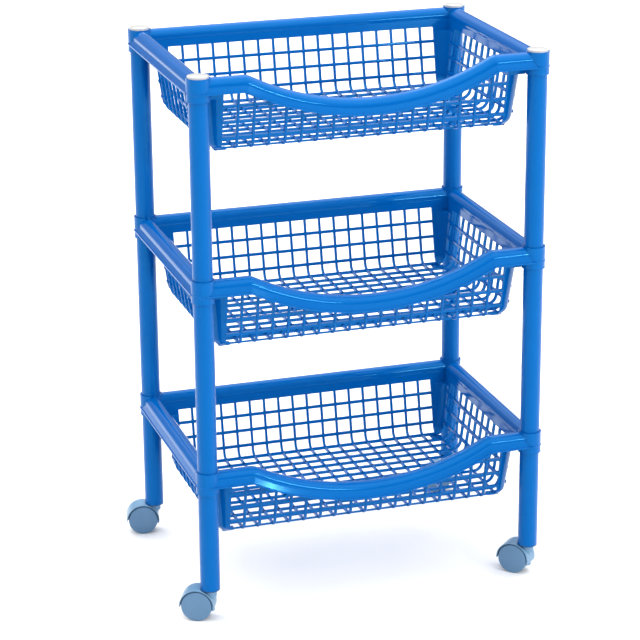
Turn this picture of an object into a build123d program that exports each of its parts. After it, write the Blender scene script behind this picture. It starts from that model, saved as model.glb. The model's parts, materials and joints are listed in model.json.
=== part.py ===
from build123d import *
import math
import os

# Rolling utility cart: three mesh baskets moulded in one piece each, carried on four
# plugged posts, with a twin-wheel swivel caster under each leg. Millimetres, +Z up.
# The front is -Y, the side with the scooped rails.

# ---- overall sizes -------------------------------------------------------------------
post_span_x = 380.0        # post centre to post centre, left to right
post_span_y = 256.0        # post centre to post centre, front to back
tiers = 3
tier_pitch = 220.0         # one basket's collar tops to the next basket's
bottom_tier_height = 176.5  # floor to the bottom basket's collar tops
leg_end_height = 36.4      # floor to the lower end of the legs

# ---- posts, collars and caps ---------------------------------------------------------
post_diameter = 22.0
post_wall = 1.8
collar_wall = 1.9
collar_height = 25.0
collar_web = 2.0           # the stop in the middle of each collar's bore
plug_clearance = 0.1       # radial, between pieces that are pushed together and stay put
cap_overlap = 0.4          # how far a cap's head covers the collar's rim
cap_head = 3.0
cap_dome = 0.9
cap_plug_depth = 8.0
cap_plug_wall = 1.5

# ---- basket rim ----------------------------------------------------------------------
wall = 2.2                 # moulded wall of rails, tub and floor
rail_radius = 9.5          # half-round crown of each rail
rail_top_drop = 0.8        # rail crown below the collar tops
rail_skirt = 5.2           # height of the outer face below the half round
rail_skirt_flare = 2.8     # how far that face leans out
lip_width = 1.7
lip_height = 1.5
rail_leg = 4.0             # inner leg of the rail section, down to where the apron takes over
scoop_half_width = 136.5
scoop_depth = 35.0
scoop_kink_radius = 18.0

# ---- basket tub ----------------------------------------------------------------------
tub_depth = 87.0           # collar tops to the underside of the floor
floor_inset_x = 18.0       # post line to the outside of the tub at its floor, at the sides
floor_inset_y = 23.0       # the same at the front and back
bend_radius = 12.0         # outside radius between walls and floor
corner_radius_top = 22.0
corner_radius_floor = 12.0
ledge_depth = 25.0         # collar tops to the ledge in each inside corner

# ---- mesh ----------------------------------------------------------------------------
mesh_pitch = 17.9
mesh_bar = 2.8
mesh_columns_x = 18        # openings along the front, the back and the floor's length
mesh_columns_y = 11        # openings along each side and the floor's width
mesh_rows = 3              # rows in the walls, above the row that bends into the floor
mesh_top_drop = 20.5       # collar tops to the first openings

# ---- casters -------------------------------------------------------------------------
wheel_diameter = 34.5
caster_trail = 14.5        # swivel axis to axle
wheel_half_track = 12.0    # middle of the caster to the face of a wheel
wheel_wall = 1.8
wheel_dome = 0.8
wheel_edge = 1.4           # rounding between tread and face
wheel_hub_wall = 2.4
wheel_gap = 0.7            # hood's web to each wheel
hood_half_width = 10.9
hood_gap = 1.4             # radial, the wheels' treads to the inside of the hood
hood_wall = 0.9
hood_relief = 0.6          # hood to the leg's side, where it is cut away under the leg
hood_web_half = 4.4        # half thickness of the web between the wheels
hood_trail_angle = -3.0    # where the hood ends on the trailing side, about the axle
hood_stem_angle = 192.0    # where it ends on the side under the stem
axle_diameter = 4.0
axle_end_gap = 0.4         # axle's end to the blind end of a wheel's bore
stem_diameter = 7.0
stem_boss_wall = 1.2
stem_boss_foot = 10.0      # floor to the lower end of the boss that holds the stem
stem_collar_wall = 3.9
stem_collar_height = 7.0
running_clearance = 0.06   # radial, axle in hub and stem in socket
swivel_gap = 0.5           # caster's collar to the socket's flange
socket_flange = 1.0
socket_length = 30.0
socket_end = 2.0           # closed upper end of the socket
stem_end_gap = 1.0
grip_groove = 0.6          # depth of the groove near the stem's upper end
grip_ring_height = 3.0
grip_ring_split = 1.2

# Headings of the four casters as they stand: the way the wheels trail, in degrees from +X.
caster_heading = {"front_left": 155.0, "front_right": 135.0,
                  "back_left": 169.0, "back_right": 150.0}

half_x = post_span_x / 2
half_y = post_span_y / 2
post_radius = post_diameter / 2
bore_radius = post_radius + plug_clearance
collar_radius = bore_radius + collar_wall
socket_depth = (collar_height - collar_web) / 2
crown_z = -rail_top_drop - rail_radius          # centre height of the rails' half round
apron_top = crown_z - rail_leg + wall           # where the apron starts, inside the rail's leg
wheel_radius = wheel_diameter / 2
tier_heights = [bottom_tier_height + tier_pitch * i for i in range(tiers)]
corner_signs = {"front_left": (-1, -1), "front_right": (1, -1),
                "back_left": (-1, 1), "back_right": (1, 1)}


def box(x0, x1, y0, y1, z0, z1):
    """A box from its six limits."""
    middle = Pos((x0 + x1) / 2, (y0 + y1) / 2, (z0 + z1) / 2)
    return middle * Box(x1 - x0, y1 - y0, z1 - z0)


def rod(x, y, z0, z1, radius):
    """An upright cylinder from one height to another."""
    return Pos(x, y, (z0 + z1) / 2) * Cylinder(radius, z1 - z0)


def dome_drop(reach, rise):
    """How far a shallow dome, part of a ball, has dropped halfway out from its middle."""
    ball = (reach ** 2 + rise ** 2) / (2 * rise)
    return ball - math.sqrt(ball ** 2 - (reach / 2) ** 2)


# ---- the scoop of the front rail -----------------------------------------------------

def scoop_line(drop):
    """The front rail's line seen from the front, drop below the collar tops: straight, a
    short bend, one long arc, and the same again. Each drop is parallel to the others."""
    arc_radius = (scoop_half_width ** 2 + scoop_depth ** 2) / (2 * scoop_depth)
    arc_z = arc_radius - scoop_depth
    big = arc_radius + drop
    small = scoop_kink_radius - drop

    def on_big(angle):
        return Vector(big * math.sin(angle), 0, arc_z - big * math.cos(angle))

    bottom = on_big(0)
    edges = []
    if small > 0:
        reach = arc_radius + scoop_kink_radius
        kink_x = math.sqrt(reach ** 2 - (arc_z + scoop_kink_radius) ** 2)
        angle = math.asin(kink_x / reach)
        join = on_big(angle)
        middle = Vector(kink_x - small * math.sin(angle / 2), 0,
                        -scoop_kink_radius + small * math.cos(angle / 2))
        start = Vector(kink_x, 0, -drop)
        edges.append(ThreePointArc(start, middle, join))
    else:
        kink_x = math.sqrt(big ** 2 - (arc_z + drop) ** 2)
        angle = math.asin(kink_x / big)
        join = on_big(angle)
        start = join
    end = Vector(half_x, 0, -drop)
    long_arc = ThreePointArc(join, bottom, Vector(-join.X, 0, join.Z))
    left = [edge.mirror(Plane.YZ) for edge in edges]
    return [Line(end, start), *edges, long_arc, *left,
            Line(Vector(-start.X, 0, start.Z), Vector(-end.X, 0, end.Z))]


def above_scoop(drop, y0, y1):
    """All that lies over the scoop line, between two depths."""
    top = 2 * rail_radius
    ends = [Vector(half_x, 0, -drop), Vector(half_x, 0, top),
            Vector(-half_x, 0, top), Vector(-half_x, 0, -drop)]
    sides = [Line(a, b) for a, b in zip(ends, ends[1:])]
    face = Pos(0, y0, 0) * make_face(Wire([*scoop_line(drop), *sides]))
    return extrude(face, amount=y1 - y0, dir=(0, 1, 0))


# ---- rails ---------------------------------------------------------------------------

def rail_section(plane):
    """The rail's hollow section: a half-round crown, a leaning outer face with a lip, and a
    short inner leg. Local x runs outward from the post line and local y runs up."""
    inner = rail_radius - wall
    skirt_z = crown_z - rail_skirt
    out = rail_radius + rail_skirt_flare
    lip_z = skirt_z - lip_height
    leg_z = crown_z - rail_leg
    lines = [
        Line((-rail_radius, leg_z), (-rail_radius, crown_z)),
        ThreePointArc((-rail_radius, crown_z), (0, crown_z + rail_radius), (rail_radius, crown_z)),
        Line((rail_radius, crown_z), (out, skirt_z)),
        Line((out, skirt_z), (out + lip_width, skirt_z)),
        Line((out + lip_width, skirt_z), (out + lip_width, lip_z)),
        Line((out + lip_width, lip_z), (out - wall, lip_z)),
        Line((out - wall, lip_z), (inner, crown_z)),
        ThreePointArc((inner, crown_z), (0, crown_z + inner), (-inner, crown_z)),
        Line((-inner, crown_z), (-inner, leg_z)),
        Line((-inner, leg_z), (-rail_radius, leg_z)),
    ]
    return plane * make_face(Wire(lines))


def rails():
    """Three straight rails and the scooped front one, each from post to post."""
    back = rail_section(Plane((-half_x, half_y, 0), x_dir=(0, 1, 0), z_dir=(1, 0, 0)))
    left = rail_section(Plane((-half_x, -half_y, 0), x_dir=(-1, 0, 0), z_dir=(0, 1, 0)))
    right = rail_section(Plane((half_x, half_y, 0), x_dir=(1, 0, 0), z_dir=(0, -1, 0)))
    front = rail_section(Plane((half_x, -half_y, 0), x_dir=(0, -1, 0), z_dir=(-1, 0, 0)))
    path = Pos(0, -half_y, 0) * Wire(scoop_line(0))
    return [extrude(back, amount=post_span_x), extrude(left, amount=post_span_y),
            extrude(right, amount=post_span_y), sweep(front, path=path)]


# ---- tub -----------------------------------------------------------------------------

def tub_half(z):
    """Half length and half width of the tub's outside at a height: its walls lean in."""
    share = (z - crown_z) / (-tub_depth - crown_z)
    top_inset = rail_radius - wall
    inset_x = top_inset + share * (floor_inset_x - top_inset)
    inset_y = top_inset + share * (floor_inset_y - top_inset)
    return half_x - inset_x, half_y - inset_y


def tub_block(z0, z1, radius0, radius1, inset):
    """A leaning block with rounded corners between two heights, inset from the outside."""
    faces = []
    for z, radius in ((z0, radius0), (z1, radius1)):
        hx, hy = tub_half(z)
        size = (2 * (hx - inset), 2 * (hy - inset))
        faces.append(Pos(0, 0, z) * RectangleRounded(*size, max(radius - inset, 0.5)))
    return loft(faces, ruled=True)


def corner_radius(z):
    """Radius of the tub's upright corners at a height."""
    share = (z + ledge_depth) / (ledge_depth - tub_depth)
    return corner_radius_top + share * (corner_radius_floor - corner_radius_top)


def tub_shape(inset, top):
    """The closed shape of the tub's outside or inside, its floor edge rounded."""
    floor_z = -tub_depth + inset
    block = tub_block(floor_z, top, corner_radius(floor_z), corner_radius(top), inset)
    bottom = block.faces().sort_by(Axis.Z)[0]
    return fillet(bottom.edges(), bend_radius - inset)


def tub():
    """Apron, corner ledges, leaning walls and floor, without the mesh."""
    ledge_under = -ledge_depth - wall
    apron = tub_block(ledge_under, apron_top, 1.0, 1.0, 0)
    apron -= tub_block(-ledge_depth, 0, 1.0, 1.0, wall)
    body = apron + tub_shape(0, -ledge_depth)
    return body - tub_shape(wall, -ledge_depth + wall)


# ---- mesh ----------------------------------------------------------------------------

def openings(count, middle=0.0):
    """Start and end of each opening in a row of mesh openings."""
    first = middle - count * mesh_pitch / 2
    spans = [(first + i * mesh_pitch, first + (i + 1) * mesh_pitch) for i in range(count)]
    return [(a + mesh_bar / 2, b - mesh_bar / 2) for a, b in spans]


def mesh_cutters():
    """Boxes for every opening: three rows through the walls, a row round the bend into the
    floor, and the floor's grid. The front wall's boxes stop under the scoop."""
    far_x = half_x
    far_y = half_y
    low = -tub_depth - wall
    columns_x = openings(mesh_columns_x)
    columns_y = openings(mesh_columns_y)
    edge_x = columns_x[-1][1] + mesh_bar
    edge_y = columns_y[-1][1] + mesh_bar
    rows = [(-mesh_top_drop - i * mesh_pitch - (mesh_pitch - mesh_bar), -mesh_top_drop - i * mesh_pitch)
            for i in range(mesh_rows)]
    bend_top = rows[-1][0] - mesh_bar
    front = []
    rest = []
    for x0, x1 in columns_x:
        for z0, z1 in rows:
            front.append(box(x0, x1, -far_y, 0, z0, z1))
            rest.append(box(x0, x1, 0, far_y, z0, z1))
        rest.append(box(x0, x1, -far_y, -edge_y, low, bend_top))
        rest.append(box(x0, x1, edge_y, far_y, low, bend_top))
        rest += [box(x0, x1, y0, y1, low, bend_top) for y0, y1 in columns_y]
    for y0, y1 in columns_y:
        rest += [box(-far_x, far_x, y0, y1, z0, z1) for z0, z1 in rows]
        rest.append(box(-far_x, -edge_x, y0, y1, low, bend_top))
        rest.append(box(edge_x, far_x, y0, y1, low, bend_top))
    trimmed = Compound(front) - above_scoop(mesh_top_drop, -far_y, 0)
    return trimmed, Compound(rest)


# ---- one basket ----------------------------------------------------------------------

def front_web():
    """The web under the front rail that joins it to the leaning front wall."""
    hx, _ = tub_half(-ledge_depth)
    depth = rail_leg - crown_z
    strip = above_scoop(depth, -half_y + rail_radius - wall, 0) - above_scoop(depth - wall, -half_y, 0)
    return strip & box(-hx, hx, -half_y, 0, -tub_depth, 0)


def basket():
    """One moulding: rails, tub with its mesh, and the four collars, collar tops at zero."""
    shell = tub()
    shell -= above_scoop(rail_leg - crown_z - wall, -half_y, -half_y + floor_inset_y + wall)
    web = front_web() - tub_shape(wall, 0) - tub_block(-ledge_depth, 0, 1.0, 1.0, wall)
    front_cut, rest_cut = mesh_cutters()
    shell = shell - front_cut - rest_cut
    body = shell + web
    for rail in rails():
        body += rail
    for sign_x, sign_y in corner_signs.values():
        x, y = sign_x * half_x, sign_y * half_y
        middle = (bore_radius + collar_radius) / 2
        body -= rod(x, y, -tub_depth, collar_height, middle)
        collar = rod(x, y, -collar_height, 0, collar_radius)
        collar -= rod(x, y, -socket_depth, 0, bore_radius)
        collar -= rod(x, y, -collar_height, -collar_height + socket_depth, bore_radius)
        body += collar
    return body


# ---- posts and caps ------------------------------------------------------------------

def post(x, y, z0, z1):
    """One tube between two heights."""
    return rod(x, y, z0, z1, post_radius) - rod(x, y, z0, z1, post_radius - post_wall)


def cap(x, y, z):
    """A domed disc on the collar's rim, with a hollow plug down the bore."""
    head_radius = bore_radius + cap_overlap
    rim_z = z + cap_head - cap_dome
    halfway = (head_radius / 2, z + cap_head - dome_drop(head_radius, cap_dome))
    profile = [Line((0, z), (head_radius, z)), Line((head_radius, z), (head_radius, rim_z)),
               ThreePointArc((head_radius, rim_z), halfway, (0, z + cap_head)),
               Line((0, z + cap_head), (0, z))]
    head = revolve(Plane.XZ * make_face(Wire(profile)), Axis.Z)
    plug = rod(0, 0, z - cap_plug_depth, z, post_radius)
    plug -= rod(0, 0, z - cap_plug_depth, z - cap_plug_wall, post_radius - cap_plug_wall)
    return Pos(x, y, 0) * (head + plug)


# ---- casters -------------------------------------------------------------------------
# Each is made with its swivel axis on Z, trailing towards +X, and the floor at zero.

axle_radius = axle_diameter / 2
stem_radius = stem_diameter / 2
hub_bore = axle_radius + running_clearance
hub_radius = hub_bore + wheel_hub_wall
hub_start = hood_web_half + wheel_gap
hood_radius = wheel_radius + hood_gap + hood_wall
bore_end = wheel_half_track - wheel_wall
stem_top = leg_end_height + socket_length - socket_end - stem_end_gap
socket_foot = leg_end_height - socket_flange
boss_top = socket_foot - swivel_gap


def caster_wheel(side):
    """One wheel: a domed disc with a deep rim that runs under the hood and a blind hub."""
    face_edge = wheel_half_track - wheel_dome
    tread_end = face_edge - wheel_edge
    shoulder = wheel_radius - wheel_edge
    round_middle = wheel_edge * (1 - math.sqrt(0.5))
    inside = wheel_radius - wheel_wall
    points = [(wheel_radius, tread_end), (wheel_radius, hub_start), (inside, hub_start),
              (inside, bore_end - wheel_dome), (hub_radius, bore_end - wheel_dome),
              (hub_radius, hub_start), (hub_bore, hub_start), (hub_bore, bore_end),
              (0, bore_end), (0, wheel_half_track)]
    profile = [Line(a, b) for a, b in zip(points, points[1:])]
    halfway = (shoulder / 2, wheel_half_track - dome_drop(shoulder, wheel_dome))
    profile.append(ThreePointArc((0, wheel_half_track), halfway, (shoulder, face_edge)))
    profile.append(ThreePointArc((shoulder, face_edge),
                                 (wheel_radius - round_middle, face_edge - round_middle),
                                 (wheel_radius, tread_end)))
    wheel = revolve(make_face(Wire(profile)), Axis.Y)
    wheel = wheel if side > 0 else wheel.mirror(Plane.XZ)
    return Pos(caster_trail, 0, wheel_radius) * wheel


def drum(radius, half_width):
    """A cylinder on the axle's line."""
    return Pos(caster_trail, 0, wheel_radius) * Rot(90, 0, 0) * Cylinder(radius, 2 * half_width)


def hood_sector(depth):
    """The wedge about the axle that the hood covers, seen from the side."""
    far = 3 * wheel_radius
    centre = Vector(caster_trail, 0, wheel_radius)
    turn = hood_stem_angle - hood_trail_angle
    angles = [math.radians(hood_trail_angle + turn * i / 4) for i in range(5)]
    rim = [centre + Vector(far * math.cos(a), 0, far * math.sin(a)) for a in angles]
    face = make_face(Polyline(centre, *rim, centre))
    return Pos(0, -depth, 0) * extrude(face, amount=2 * depth, dir=(0, 1, 0))


def caster_hood():
    """The caster's body: a hood over both wheels, the web between them with the axle's hole,
    and the boss and collar that hold the stem."""
    under = hood_radius - hood_wall / 2
    hood = drum(hood_radius, hood_half_width) - drum(hood_radius - hood_wall, hood_half_width + 1)
    hood += drum(under, hood_web_half)
    hood &= hood_sector(hood_half_width + 1)
    hood += drum(hub_radius, hood_web_half)
    hood += rod(0, 0, stem_boss_foot, boss_top, stem_radius + stem_boss_wall)
    collar = rod(0, 0, boss_top - stem_collar_height, boss_top, stem_radius + stem_collar_wall)
    hood += collar - drum(under, 2 * wheel_half_track)
    hood -= rod(0, 0, boss_top, boss_top + hood_radius, post_radius + hood_relief)
    hood -= rod(0, 0, stem_boss_foot + stem_boss_wall, stem_top, stem_radius)
    return hood - drum(axle_radius, wheel_half_track)


def caster_axle():
    """The pin through the web into both wheels."""
    return drum(axle_radius, bore_end - axle_end_gap)


def caster_stem():
    """The steel stem, with the groove that its grip ring sits in."""
    stem = rod(0, 0, stem_boss_foot + stem_boss_wall, stem_top, stem_radius)
    groove_top = stem_top - stem_diameter / 2
    groove = rod(0, 0, groove_top - grip_ring_height, groove_top, stem_radius + 1)
    return stem - (groove - rod(0, 0, groove_top - grip_ring_height, groove_top,
                                stem_radius - grip_groove))


def grip_ring():
    """The split ring in the stem's groove that keeps the caster in its socket."""
    z1 = stem_top - stem_diameter / 2 - running_clearance
    z0 = z1 - grip_ring_height + 2 * running_clearance
    ring = rod(0, 0, z0, z1, stem_radius)
    ring -= rod(0, 0, z0, z1, stem_radius - grip_groove + running_clearance)
    return ring - box(0, stem_diameter, -grip_ring_split / 2, grip_ring_split / 2, z0, z1)


def leg_socket():
    """The insert in a leg's lower end that the stem turns in."""
    outside = post_radius - post_wall - plug_clearance
    top = leg_end_height + socket_length
    socket = rod(0, 0, leg_end_height, top, outside)
    socket += rod(0, 0, socket_foot, leg_end_height, post_radius)
    return socket - rod(0, 0, socket_foot, top - socket_end, stem_radius + running_clearance)


# ---- the whole cart ------------------------------------------------------------------

def caster_place(corner):
    """Where a caster stands and which way it trails."""
    sign_x, sign_y = corner_signs[corner]
    return Pos(sign_x * half_x, sign_y * half_y, 0) * Rot(0, 0, caster_heading[corner])


def build():
    """Every piece by name, with the four posts about the origin."""
    names = {1: ["single"], 2: ["bottom", "top"], 3: ["bottom", "middle", "top"]}
    tier_names = names.get(tiers, [f"tier_{i + 1}" for i in range(tiers)])
    pieces = {}
    moulding = basket()
    for tier_name, z in zip(tier_names, tier_heights):
        pieces[f"basket_{tier_name}"] = Pos(0, 0, z) * moulding
    for corner, (sign_x, sign_y) in corner_signs.items():
        x, y = sign_x * half_x, sign_y * half_y
        foot = leg_end_height
        for tier_name, z in zip(tier_names, tier_heights):
            label = "leg" if foot == leg_end_height else f"post_{tier_name}"
            pieces[f"{label}_{corner}"] = post(x, y, foot, z - collar_height + socket_depth)
            foot = z - socket_depth
        pieces[f"cap_{corner}"] = cap(x, y, tier_heights[-1])
        pieces[f"leg_socket_{corner}"] = Pos(x, y, 0) * leg_socket()
        place = caster_place(corner)
        pieces[f"caster_hood_{corner}"] = place * caster_hood()
        pieces[f"caster_stem_{corner}"] = place * caster_stem()
        pieces[f"caster_grip_ring_{corner}"] = place * grip_ring()
        pieces[f"caster_axle_{corner}"] = place * caster_axle()
        pieces[f"caster_wheel_outer_{corner}"] = place * caster_wheel(1)
        pieces[f"caster_wheel_inner_{corner}"] = place * caster_wheel(-1)
    return pieces


def frame_shift(pieces):
    """From the middle of the posts to the origin: the middle of the cart's whole plan."""
    boxes = [piece.bounding_box() for piece in pieces.values()]
    middle_x = (min(b.min.X for b in boxes) + max(b.max.X for b in boxes)) / 2
    middle_y = (min(b.min.Y for b in boxes) + max(b.max.Y for b in boxes)) / 2
    return Vector(-middle_x, -middle_y, 0)


parts = build()
shift = frame_shift(parts)
os.makedirs("parts", exist_ok=True)
for name, piece in parts.items():
    export_step(Pos(shift) * piece, f"parts/{name}.step")
print("posts about", round(shift.X, 4), round(shift.Y, 4), "nodes", len(parts))
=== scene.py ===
"""Looks of a three-tier rolling utility cart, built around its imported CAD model."""
import json
import math

import bmesh
import bpy
from mathutils import Matrix, Vector


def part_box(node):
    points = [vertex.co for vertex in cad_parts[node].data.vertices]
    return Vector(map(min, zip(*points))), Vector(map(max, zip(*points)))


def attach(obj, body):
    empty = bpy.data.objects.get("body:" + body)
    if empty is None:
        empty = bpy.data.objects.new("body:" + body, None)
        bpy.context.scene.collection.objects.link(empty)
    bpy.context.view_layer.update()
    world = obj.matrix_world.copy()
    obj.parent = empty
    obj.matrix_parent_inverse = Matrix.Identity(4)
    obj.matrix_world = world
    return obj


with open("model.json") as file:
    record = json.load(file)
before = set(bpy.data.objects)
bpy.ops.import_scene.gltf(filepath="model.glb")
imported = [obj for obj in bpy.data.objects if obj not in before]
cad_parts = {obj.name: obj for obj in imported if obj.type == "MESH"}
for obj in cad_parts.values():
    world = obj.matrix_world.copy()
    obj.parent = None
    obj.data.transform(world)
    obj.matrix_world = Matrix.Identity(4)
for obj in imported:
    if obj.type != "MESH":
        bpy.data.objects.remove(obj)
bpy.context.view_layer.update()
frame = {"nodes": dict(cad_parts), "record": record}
nodes = frame["nodes"]

MM = 0.001
WHITE = (1.0, 1.0, 1.0, 1.0)
TIERS = ("bottom", "middle", "top")


# ---- where things are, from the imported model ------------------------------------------

def centre_of(node):
    low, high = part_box(node)
    return (low + high) / 2


LEFT, RIGHT = centre_of("post_top_front_left").x, centre_of("post_top_front_right").x
FRONT, BACK = centre_of("post_top_front_left").y, centre_of("post_top_back_left").y
MIDDLE_X, MIDDLE_Y = (LEFT + RIGHT) / 2, (FRONT + BACK) / 2
HALF_X, HALF_Y = (RIGHT - LEFT) / 2, (BACK - FRONT) / 2
TIER_TOP = {tier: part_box(f"basket_{tier}")[1].z for tier in TIERS}


# ---- materials ------------------------------------------------------------------------

def srgb(r, g, b):
    """Linear colour from 0-255 values as seen on a screen."""
    def linear(v):
        v /= 255
        return v / 12.92 if v <= 0.04045 else ((v + 0.055) / 1.055) ** 2.4
    return (linear(r), linear(g), linear(b), 1.0)


PLASTIC_IOR = 1.47
GRAIN_DEPTH = 0.2 * MM


def plastic(name, low, high, rough=(0.1, 0.17), cloud=28.0, grain=900.0, bump=0.01,
            specular=0.5, tint=WHITE):
    """Moulded plastic: soft clouds between two colours, a fine grain and uneven gloss."""
    mat = bpy.data.materials.new(name)
    mat.use_nodes = True
    tree = mat.node_tree
    link = tree.links.new
    shader = tree.nodes["Principled BSDF"]
    place = tree.nodes.new("ShaderNodeTexCoord")
    clouds = tree.nodes.new("ShaderNodeTexNoise")
    clouds.inputs["Scale"].default_value = cloud
    clouds.inputs["Detail"].default_value = 3
    ramp = tree.nodes.new("ShaderNodeValToRGB")
    for stop, position, colour in zip(ramp.color_ramp.elements, (0.3, 0.7), (low, high)):
        stop.position = position
        stop.color = colour
    gloss = tree.nodes.new("ShaderNodeMapRange")
    gloss.inputs["To Min"].default_value = rough[0]
    gloss.inputs["To Max"].default_value = rough[1]
    fine = tree.nodes.new("ShaderNodeTexNoise")
    fine.inputs["Scale"].default_value = grain
    fine.inputs["Detail"].default_value = 2
    skin = tree.nodes.new("ShaderNodeBump")
    skin.inputs["Strength"].default_value = bump
    skin.inputs["Distance"].default_value = GRAIN_DEPTH
    link(place.outputs["Object"], clouds.inputs["Vector"])
    link(place.outputs["Object"], fine.inputs["Vector"])
    link(clouds.outputs["Fac"], ramp.inputs["Fac"])
    link(clouds.outputs["Fac"], gloss.inputs["Value"])
    link(ramp.outputs["Color"], shader.inputs["Base Color"])
    link(gloss.outputs["Result"], shader.inputs["Roughness"])
    link(fine.outputs["Fac"], skin.inputs["Height"])
    link(skin.outputs["Normal"], shader.inputs["Normal"])
    shader.inputs["IOR"].default_value = PLASTIC_IOR
    shader.inputs["Specular IOR Level"].default_value = specular
    shader.inputs["Specular Tint"].default_value = tint
    return mat


def steel(name):
    """Drawn steel: grey with faint streaks."""
    mat = plastic(name, srgb(150, 154, 158), srgb(176, 179, 183), rough=(0.25, 0.4), cloud=60.0)
    mat.node_tree.nodes["Principled BSDF"].inputs["Metallic"].default_value = 1.0
    return mat


BLUE = (srgb(0, 86, 162), srgb(0, 88, 165))
BLUE_SHEEN = (0.15, 0.7, 1.0, 1.0)    # keeps the gloss of the blue plastic blue
MATERIALS = {
    "basket_plastic": plastic("basket_plastic", *BLUE, rough=(0.07, 0.11), tint=BLUE_SHEEN),
    "post_plastic": plastic("post_plastic", *BLUE, rough=(0.2, 0.24), specular=0.45,
                            tint=BLUE_SHEEN),
    "cap_plastic": plastic("cap_plastic", srgb(184, 184, 183), srgb(191, 191, 190)),
    "socket_plastic": plastic("socket_plastic", srgb(16, 52, 98), srgb(20, 58, 104),
                              rough=(0.4, 0.5)),
    "hood_plastic": plastic("hood_plastic", srgb(96, 136, 168), srgb(104, 144, 176),
                            rough=(0.25, 0.36)),
    "wheel_plastic": plastic("wheel_plastic", srgb(80, 118, 152), srgb(88, 126, 160),
                             rough=(0.3, 0.42)),
    "caster_steel": steel("caster_steel"),
}
for part in frame["record"]["subparts"]:
    for holder in nodes[part["node"]].material_slots:
        holder.link = "OBJECT"
        holder.material = MATERIALS[part["material_slot"]]


# ---- ribs of the mesh -----------------------------------------------------------------
# Sizes of the moulding, as in the CAD model. Heights are below a basket's collar tops.

WALL = 2.2 * MM
CROWN = 10.3 * MM            # centre of the rails' half round
CROWN_INSET = 7.3 * MM       # post line to the outside of the tub at that height
TUB_DEPTH = 87.0 * MM
FLOOR_INSET = {"x": 18.0 * MM, "y": 23.0 * MM}
BEND = 12.0 * MM             # outside radius between a wall and the floor
PITCH = 17.9 * MM
BAR = 2.8 * MM
FIRST_OPENING = 20.5 * MM
COLUMNS = {"x": 18, "y": 11}
ROWS = 3
SCOOP_HALF = 136.5 * MM
SCOOP_DEPTH = 35.0 * MM
SCOOP_KINK = 18.0 * MM       # radius where the scoop meets the straight rail
HALF = {"x": HALF_X, "y": HALF_Y}

# Outer ribs run down the walls and under the floor, inner ribs run level along the walls.
OUTER_HALF_WIDTH = 1.46 * MM
OUTER_PROUD = 0.8 * MM       # past the wall's outside
OUTER_BACK = 0.12 * MM       # past the wall's inside
OUTER_END = 2.5 * MM         # top of a rib over the first opening's top edge
SCOOP_END = 4.5 * MM         # the same under the front rail's scoop
INNER_HALF_WIDTH = 1.7 * MM
INNER_PROUD = 0.7 * MM       # past the wall's inside
INNER_BACK = 0.3 * MM        # past the wall's outside
INNER_END = 0.5 * MM         # past the last pitch of a row
INNER_ROOM = 4.0 * MM        # over the top edge of the scoop's openings, still with a bar
INNER_STEPS = 60
WALL_STEP = 6.0 * MM
BEND_STEP = 1.2 * MM
FLOOR_STEP = 14.0 * MM

COLLAR_RADIUS = 13.0 * MM
COLLAR_HEIGHT = 25.0 * MM
LIP_TOP, LIP_FOOT = 15.5 * MM, 17.0 * MM    # the rails' lip, carried on round the collars
LIP_PROUD = 0.55 * MM
BEAD_HEIGHT = 1.0 * MM
BEAD_PROUD = 0.25 * MM
TRIM_SUNK = 0.4 * MM         # lip and bead reach this far into the collar

PAD_LENGTH, PAD_WIDTH = 15.0 * MM, 9.0 * MM
PAD_DROP = 1.6 * MM
PAD_SUNK = 0.3 * MM          # how far a pad reaches into the floor
PAD_INSET = 13.0 * MM        # tub's outside at its floor to the middle of a pad
PAD_TAPER = 0.86
PAD_EDGE = 0.45 * MM


def scoop(x):
    """Height of the front rail's line over the middle of the front, at x from the middle."""
    arc = (SCOOP_HALF ** 2 + SCOOP_DEPTH ** 2) / (2 * SCOOP_DEPTH)
    arc_z = arc - SCOOP_DEPTH
    kink_x = math.sqrt((arc + SCOOP_KINK) ** 2 - (arc_z + SCOOP_KINK) ** 2)
    join_x = arc * kink_x / (arc + SCOOP_KINK)
    x = abs(x)
    if x <= join_x:
        return arc_z - math.sqrt(arc ** 2 - x ** 2)
    if x < kink_x:
        return math.sqrt(SCOOP_KINK ** 2 - (kink_x - x) ** 2) - SCOOP_KINK
    return 0.0


def tub_half(axis, z):
    """Half size of the tub's outside along an axis, at a height."""
    share = (-z - CROWN) / (TUB_DEPTH - CROWN)
    return HALF[axis] - CROWN_INSET - share * (FLOOR_INSET[axis] - CROWN_INSET)


def tub_line(axis, z_start, z_end):
    """The tub's outside in section: down one wall, round the bend, along the floor and up the
    other wall. Gives (along, height) points, each with its outward normal."""
    foot = Vector((tub_half(axis, -TUB_DEPTH), -TUB_DEPTH))
    up = (Vector((tub_half(axis, -CROWN), -CROWN)) - foot).normalized()
    turn = math.acos(-up.x)
    tangent = BEND / math.tan(turn / 2)
    start = foot + up * tangent
    middle = foot + (up + Vector((-1, 0))).normalized() * (BEND / math.sin(turn / 2))
    out = Vector((up.y, -up.x))

    def wall(z):
        count = max(2, int((z - start.y) / WALL_STEP))
        top = Vector((tub_half(axis, z), z))
        return [(start.lerp(top, 1 - i / count), out) for i in range(count)]

    def bend():
        first = math.atan2(out.y, out.x)
        last = -math.pi / 2
        count = int(BEND * abs(last - first) / BEND_STEP)
        angles = [first + (last - first) * i / count for i in range(count + 1)]
        ways = [Vector((math.cos(a), math.sin(a))) for a in angles]
        return [(middle + way * BEND, way) for way in ways]

    def mirrored(line):
        return [(Vector((-p.x, p.y)), Vector((-n.x, n.y))) for p, n in reversed(line)]

    down = wall(z_start) + bend()
    span = down[-1][0].x
    count = max(2, int(2 * span / FLOOR_STEP))
    spots = [span - 2 * span * i / count for i in range(1, count)]
    floor = [(Vector((along, -TUB_DEPTH)), Vector((0, -1))) for along in spots]
    return down + floor + mirrored(wall(z_end) + bend())


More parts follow.
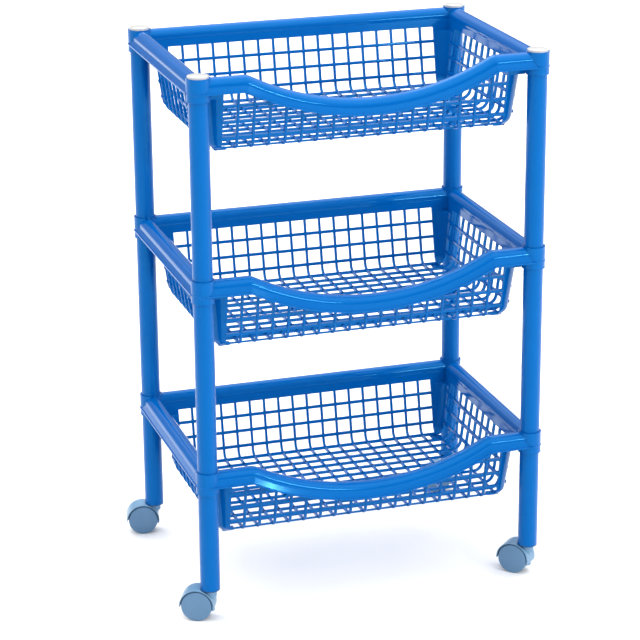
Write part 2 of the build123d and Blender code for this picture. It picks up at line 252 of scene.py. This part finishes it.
def rib_section(back, proud, half, rounding=0.8 * MM, steps=4):
    """A rib's section: (across, outward) points, flat behind and rounded in front."""
    points = [(-half, back)]
    for side in (-1, 1):
        middle = side * (half - rounding)
        for i in range(steps + 1):
            a = i / steps * math.pi / 2
            a = math.pi - a if side < 0 else math.pi / 2 - a
            height = proud - rounding + rounding * math.sin(a)
            points.append((middle + rounding * math.cos(a), height))
    points.append((half, back))
    return points


def sweep(mesh, line, across, section):
    """Adds a capped bar to the mesh: the section carried along (point, normal) pairs."""
    rings = []
    for point, normal in line:
        rings.append([mesh.verts.new(point + across * w + normal * n) for w, n in section])
    count = len(section)
    for a, b in zip(rings, rings[1:]):
        for i in range(count):
            j = (i + 1) % count
            mesh.faces.new((a[i], a[j], b[j], b[i]))
    mesh.faces.new(rings[0][::-1])
    mesh.faces.new(rings[-1])


def tier_point(tier, x, y, z):
    """A point given from the middle of a tier at its collar tops."""
    return Vector((MIDDLE_X + x, MIDDLE_Y + y, TIER_TOP[tier] + z))


def finished(name, mesh, slot, body="cart", angle=40.0):
    """Makes the object from mesh code, smooth up to an angle, riding on its body."""
    bmesh.ops.recalc_face_normals(mesh, faces=mesh.faces)
    data = bpy.data.meshes.new(name)
    mesh.to_mesh(data)
    mesh.free()
    data.shade_smooth()
    data.set_sharp_from_angle(angle=math.radians(angle))
    data.materials.append(MATERIALS[slot])
    piece = bpy.data.objects.new(name, data)
    bpy.context.scene.collection.objects.link(piece)
    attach(piece, body)
    return piece


def bar_lines(axis):
    """Where the bars between a row's openings lie, from the middle."""
    count = COLUMNS[axis]
    return [(i - count / 2) * PITCH for i in range(1, count)]


def outer_ribs(tier):
    """Round-fronted bars proud on the outside, which run down a wall, round the bend, under the
    floor and up the wall opposite."""
    mesh = bmesh.new()
    section = rib_section(-WALL - OUTER_BACK, OUTER_PROUD, OUTER_HALF_WIDTH)
    top = -FIRST_OPENING + OUTER_END
    for x in bar_lines("x"):
        line = tub_line("y", top, scoop(x) - FIRST_OPENING + SCOOP_END)
        line = [(tier_point(tier, x, p.x, p.y), Vector((0, n.x, n.y))) for p, n in line]
        sweep(mesh, line, Vector((1, 0, 0)), section)
    for y in bar_lines("y"):
        line = tub_line("x", top, top)
        line = [(tier_point(tier, p.x, y, p.y), Vector((n.x, 0, n.y))) for p, n in line]
        sweep(mesh, line, Vector((0, 1, 0)), section)
    return finished(f"basket_{tier}_outer_ribs", mesh, "basket_plastic")


def wall_way(axis, outward, up):
    """A direction square to the walls at the ends of an axis."""
    return Vector((0, outward, up)) if axis == "y" else Vector((outward, 0, up))


def wall_point(tier, axis, at, along, z):
    """A point on the wall that stands at a place on an axis, some way along that wall."""
    return tier_point(tier, along, at, z) if axis == "y" else tier_point(tier, at, along, z)


def runs_under_scoop(spots, z):
    """The stretches of a level bar of the front wall that lie below the scoop's openings."""
    free = [s for s in spots if z < scoop(s) - FIRST_OPENING + INNER_ROOM]
    if len(free) == len(spots):
        return [spots]
    ends = [s for s in free if s < 0], [s for s in free if s > 0]
    return [run for run in ends if len(run) > 1]


def inner_ribs(tier):
    """Level bars proud on the inside of the walls, cut short under the front rail's scoop."""
    mesh = bmesh.new()
    profile = rib_section(-INNER_BACK, WALL + INNER_PROUD, INNER_HALF_WIDTH)
    section = [(across, -outward) for across, outward in profile]
    for row in range(1, ROWS + 1):
        z = -FIRST_OPENING - row * PITCH + BAR / 2
        for axis, along in (("x", "y"), ("y", "x")):
            lean = (tub_half(axis, -CROWN) - tub_half(axis, -TUB_DEPTH)) / (TUB_DEPTH - CROWN)
            out = Vector((1, -lean)).normalized()
            up = Vector((lean, 1)).normalized()
            reach = COLUMNS[along] / 2 * PITCH + INNER_END
            spots = [reach * (2 * i / INNER_STEPS - 1) for i in range(INNER_STEPS + 1)]
            for side in (-1, 1):
                is_front = axis == "y" and side < 0
                at = side * tub_half(axis, z)
                facing = wall_way(axis, side * out.x, out.y)
                for run in runs_under_scoop(spots, z) if is_front else [spots]:
                    line = [(wall_point(tier, axis, at, spot, z), facing) for spot in run]
                    sweep(mesh, line, wall_way(axis, side * up.x, up.y), section)
    return finished(f"basket_{tier}_inner_ribs", mesh, "basket_plastic")


def ring(mesh, middle, section, steps=64):
    """Adds a closed ring about an upright axis: section is (radius, height) points."""
    rings = []
    for i in range(steps):
        a = 2 * math.pi * i / steps
        out = Vector((math.cos(a), math.sin(a), 0))
        rings.append([mesh.verts.new(middle + out * r + Vector((0, 0, h))) for r, h in section])
    count = len(section)
    for a, b in zip(rings, rings[1:] + rings[:1]):
        for i in range(count):
            j = (i + 1) % count
            mesh.faces.new((a[i], b[i], b[j], a[j]))


def rounded_edge(inner, outer, low, high, steps=5):
    """A ring's section, round on its outer side."""
    points = [(inner, low)]
    half = (high - low) / 2
    for i in range(steps + 1):
        a = math.pi * (i / steps - 0.5)
        points.append((outer - half + half * math.cos(a), low + half + half * math.sin(a)))
    return points + [(inner, high)]


def collar_trim(tier):
    """The lip carried on round each collar, and the slim bead at the collar's foot."""
    mesh = bmesh.new()
    sunk = COLLAR_RADIUS - TRIM_SUNK
    lip = rounded_edge(sunk, COLLAR_RADIUS + LIP_PROUD, -LIP_FOOT, -LIP_TOP)
    bead = rounded_edge(sunk, COLLAR_RADIUS + BEAD_PROUD, -COLLAR_HEIGHT,
                        -COLLAR_HEIGHT + BEAD_HEIGHT)
    for x in (-HALF_X, HALF_X):
        for y in (-HALF_Y, HALF_Y):
            middle = tier_point(tier, x, y, 0)
            ring(mesh, middle, lip)
            ring(mesh, middle, bead)
    return finished(f"basket_{tier}_collar_trim", mesh, "basket_plastic")


def corner_feet(tier):
    """Small flat pads under the floor's four corners, where a loose basket stands."""
    mesh = bmesh.new()
    reach_x = tub_half("x", -TUB_DEPTH) - PAD_INSET
    reach_y = tub_half("y", -TUB_DEPTH) - PAD_INSET
    middle_z = -TUB_DEPTH - PAD_DROP / 2 + PAD_SUNK
    height = PAD_DROP + 2 * PAD_SUNK
    for sign_x in (-1, 1):
        for sign_y in (-1, 1):
            pad = bmesh.ops.create_cube(mesh, size=1.0)["verts"]
            middle = tier_point(tier, sign_x * reach_x, sign_y * reach_y, middle_z)
            for vert in pad:
                taper = PAD_TAPER if vert.co.z < 0 else 1.0
                size = Vector((PAD_LENGTH * taper, PAD_WIDTH * taper, height))
                vert.co = middle + vert.co * size
            edges = {edge for vert in pad for edge in vert.link_edges}
            bmesh.ops.bevel(mesh, geom=list(edges), offset=PAD_EDGE, segments=2, affect="EDGES")
    return finished(f"basket_{tier}_feet", mesh, "basket_plastic")


for tier_name in TIERS:
    outer_ribs(tier_name)
    inner_ribs(tier_name)
    collar_trim(tier_name)
    corner_feet(tier_name)


# ---- floor, light and camera ----------------------------------------------------------

# The sky, by height on its unit sphere.
HORIZON_Z, OVERHEAD_Z = 0.3, 0.75
HORIZON_GLOW, OVERHEAD_GLOW = 0.36, 2.45
FLOOR_REACH = 14.0

# The camera, in metres from the cart's middle at the bottom basket's collar tops, and in degrees.
CAMERA_X, CAMERA_Y, CAMERA_Z = -0.8115, -2.5003, 1.0114
CAMERA_DIP = 18.88
CAMERA_TURN = -17.59
CAMERA_ROLL = -0.47
LENS = 136.0
SENSOR_WIDTH = 36.0


def aimed(light, place, target):
    """Puts a light at a place, facing a target."""
    bpy.context.scene.collection.objects.link(light)
    light.location = place
    light.rotation_mode = "QUATERNION"
    light.rotation_quaternion = (Vector(target) - Vector(place)).to_track_quat("-Z", "Y")


def area_light(name, place, target, size, power):
    """A rectangular studio light aimed at a point, which gives the thin lines of gloss."""
    data = bpy.data.lights.new(name, "AREA")
    data.shape = "RECTANGLE"
    data.size, data.size_y = size
    data.energy = power
    aimed(bpy.data.objects.new(name, data), place, target)


def broad_light(name, place, spread, strength):
    """A very large, far, soft light: its rays come from all over a cone of sky."""
    data = bpy.data.lights.new(name, "SUN")
    data.angle = math.radians(spread)
    data.energy = strength
    aimed(bpy.data.objects.new(name, data), place, (0, 0, 0))


def studio_walls(tree):
    """A white tent all round, brightest overhead and dimmer towards the horizon."""
    link = tree.links.new
    way = tree.nodes.new("ShaderNodeTexCoord")
    split = tree.nodes.new("ShaderNodeSeparateXYZ")
    fade = tree.nodes.new("ShaderNodeMapRange")
    fade.inputs["From Min"].default_value = HORIZON_Z
    fade.inputs["From Max"].default_value = OVERHEAD_Z
    fade.inputs["To Min"].default_value = HORIZON_GLOW
    fade.inputs["To Max"].default_value = OVERHEAD_GLOW
    tree.nodes["Background"].inputs["Color"].default_value = WHITE
    link(way.outputs["Generated"], split.inputs["Vector"])
    link(split.outputs["Z"], fade.inputs["Value"])
    link(fade.outputs["Result"], tree.nodes["Background"].inputs["Strength"])


def pale_floor():
    """A plain pale floor, faintly uneven in tone, well past the camera's view."""
    mesh = bpy.data.meshes.new("floor")
    corners = [(x * FLOOR_REACH, y * FLOOR_REACH, 0) for x, y in ((-1, -1), (1, -1), (1, 1), (-1, 1))]
    mesh.from_pydata(corners, [], [(0, 1, 2, 3)])
    floor = bpy.data.objects.new("floor", mesh)
    bpy.context.scene.collection.objects.link(floor)
    mesh.materials.append(plastic("floor_paper", srgb(232, 232, 232), srgb(235, 235, 235),
                                  rough=(0.75, 0.85), cloud=3.0, grain=400.0, bump=0.05))


pale_floor()
world = bpy.data.worlds.new("studio")
bpy.context.scene.world = world
world.use_nodes = True
studio_walls(world.node_tree)
broad_light("side", place=(0.84, -0.48, 0.26), spread=40, strength=0.8)
broad_light("back", place=(-0.25, 0.55, 0.8), spread=50, strength=1.1)
area_light("window", place=(1.33, -2.3, 1.22), target=(0, 0, 0.35), size=(0.75, 0.14), power=15)

lens_data = bpy.data.cameras.new("camera")
lens_data.sensor_width = SENSOR_WIDTH
lens_data.lens = LENS
camera = bpy.data.objects.new("camera", lens_data)
bpy.context.scene.collection.objects.link(camera)
camera.location = (MIDDLE_X + CAMERA_X, MIDDLE_Y + CAMERA_Y, TIER_TOP["bottom"] + CAMERA_Z)
tilt = Matrix.Rotation(math.radians(90 - CAMERA_DIP), 3, "X")
turn = Matrix.Rotation(math.radians(CAMERA_TURN), 3, "Z")
roll = Matrix.Rotation(math.radians(CAMERA_ROLL), 3, "Z")
camera.rotation_euler = (turn @ tilt @ roll).to_euler()
bpy.context.scene.camera = camera
bpy.context.scene.view_settings.view_transform = "Standard"
